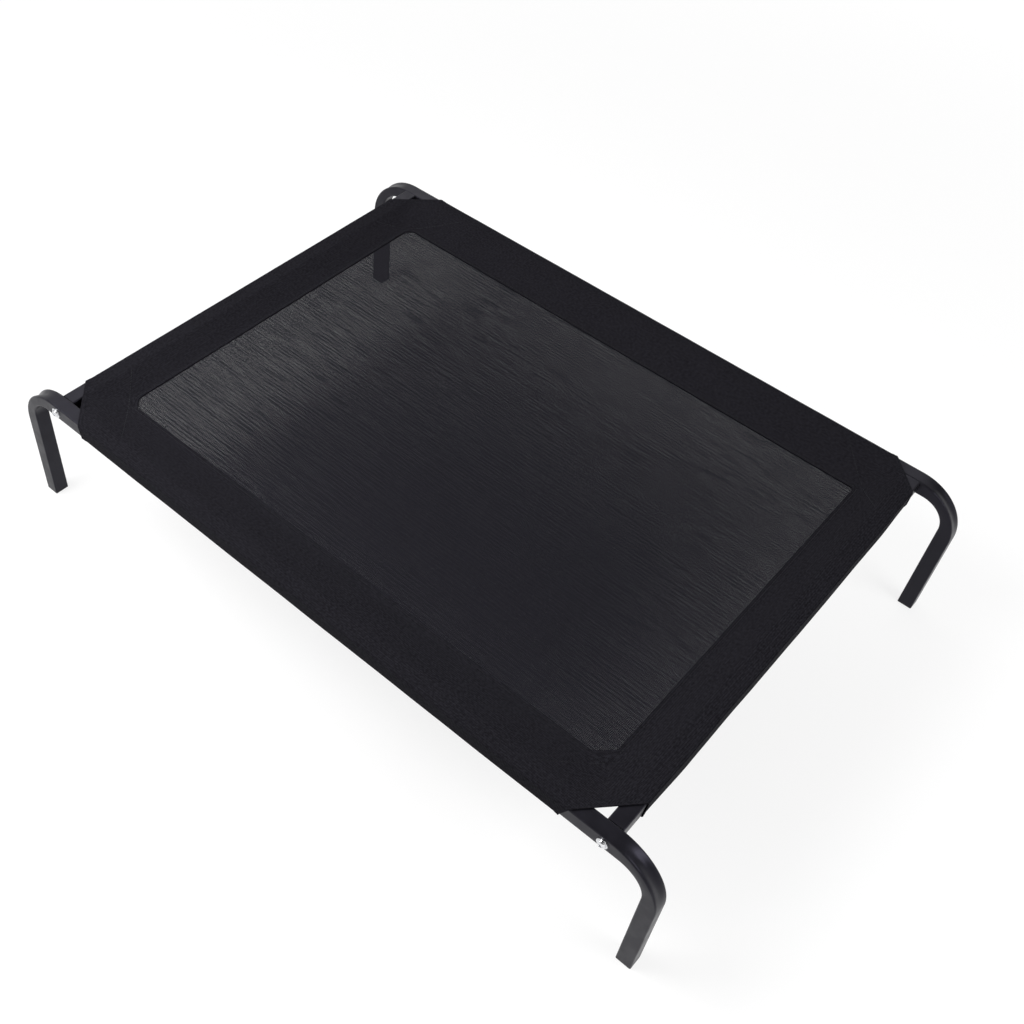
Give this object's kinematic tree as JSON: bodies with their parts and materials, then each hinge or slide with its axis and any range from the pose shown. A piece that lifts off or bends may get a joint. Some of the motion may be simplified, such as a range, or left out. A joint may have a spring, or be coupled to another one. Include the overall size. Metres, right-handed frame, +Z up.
{
  "type": "raised dog cot",
  "caption": "Raised dog cot: a see-through mesh cover sleeved over a bolted black square-tube frame whose long rails bend down into the legs.",
  "frame": {"origin": "on the floor, in the middle of the four feet", "axes": "+X along the long rails, +Y across the cot, +Z up"},
  "size_m": [1.103, 0.7616, 0.2277],
  "materials": {
    "frame_coat": "satin black powder coat on square steel tube",
    "bare_steel": "plain mill steel, hidden inside the tubes",
    "zinc_plate": "bright zinc plating",
    "foot_plastic": "black moulded plastic, fine matt grain",
    "band_cloth": "black woven coated yarn, two plies, sewn",
    "mesh_cloth": "black open weave of coated yarn, see-through"
  },
  "bodies": {
    "root": {"leg_rail_front_left": "frame_coat", "leg_rail_front_right": "frame_coat", "leg_rail_back_left": "frame_coat", "leg_rail_back_right": "frame_coat", "insert_front_left": "bare_steel", "insert_front_right": "bare_steel", "insert_back_left": "bare_steel", "insert_back_right": "bare_steel", "bolt_front_left": "zinc_plate", "bolt_front_right": "zinc_plate", "bolt_back_left": "zinc_plate", "bolt_back_right": "zinc_plate", "washer_front_left": "zinc_plate", "washer_front_right": "zinc_plate", "washer_back_left": "zinc_plate", "washer_back_right": "zinc_plate", "foot_plug_front_left": "foot_plastic", "foot_plug_front_right": "foot_plastic", "foot_plug_back_left": "foot_plastic", "foot_plug_back_right": "foot_plastic", "splice_front": "bare_steel", "splice_back": "bare_steel", "cross_rail_left": "frame_coat", "cross_rail_right": "frame_coat", "sleeve_front": "band_cloth", "sleeve_back": "band_cloth", "sleeve_left": "band_cloth", "sleeve_right": "band_cloth", "mesh_panel": "mesh_cloth"}
  },
  "joints": []
}
